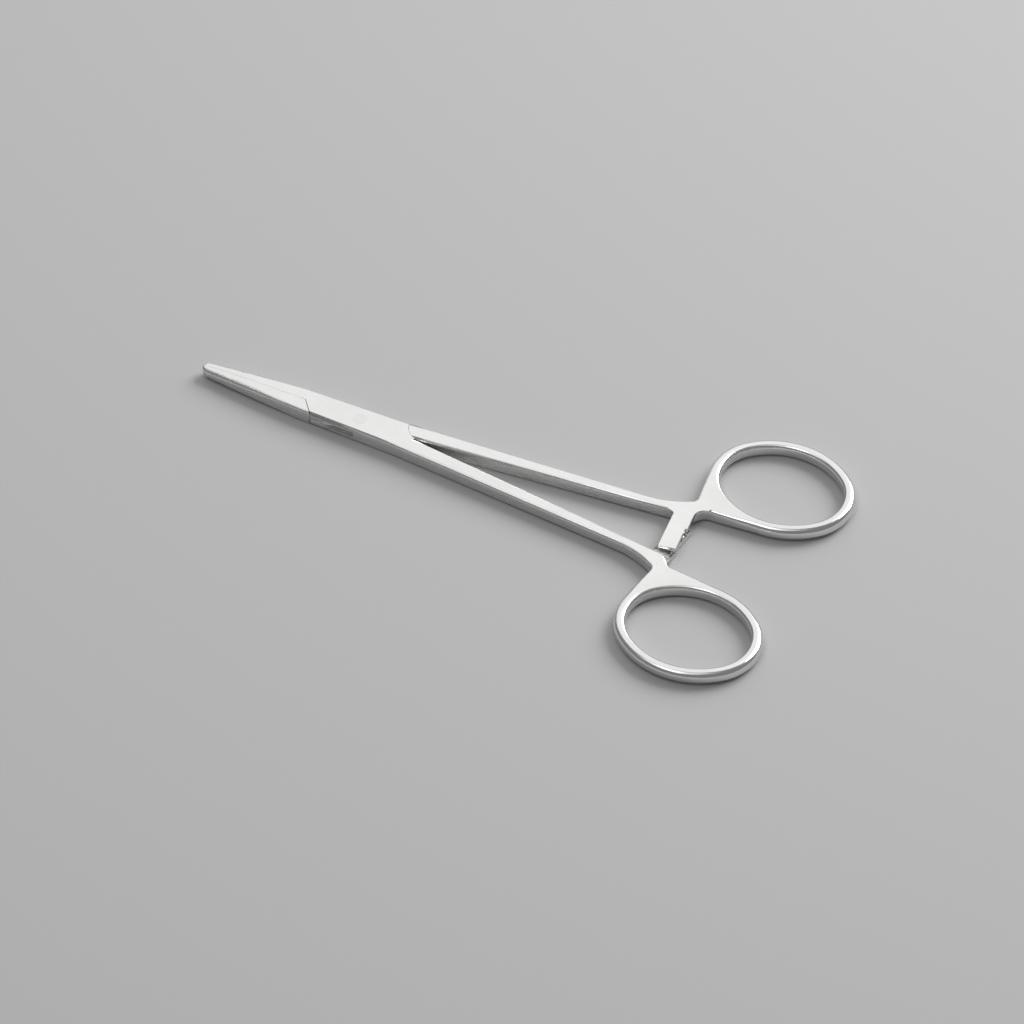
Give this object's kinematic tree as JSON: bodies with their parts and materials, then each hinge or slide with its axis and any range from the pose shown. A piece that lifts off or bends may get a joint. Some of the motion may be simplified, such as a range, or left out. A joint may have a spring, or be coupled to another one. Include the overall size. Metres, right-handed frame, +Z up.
{
  "type": "hemostat forceps",
  "caption": "Straight box-lock hemostat forceps with serrated jaws, finger rings and an interlocking ratchet.",
  "frame": {"origin": "pivot axis where it meets the flat underside of the box lock", "axes": "+X from the pivot towards the finger rings, +Y towards the through half's ring, +Z up out of the top face along the pivot axis"},
  "size_m": [0.1403, 0.071, 0.0035],
  "materials": {
    "satin_stainless": "satin-polished stainless steel",
    "rivet_stainless": "ground flush with the cheek, satin-polished stainless steel"
  },
  "bodies": {
    "box_half": {"box_half": "satin_stainless", "pivot_pin": "rivet_stainless"},
    "through_half": {"through_half": "satin_stainless"}
  },
  "joints": [
    {"name": "box_lock_pivot", "type": "hinge", "parent": "box_half", "child": "through_half", "pos_m": [0, 0, 0], "axis": [0, 0, 1], "range_deg": [0, 52]}
  ]
}
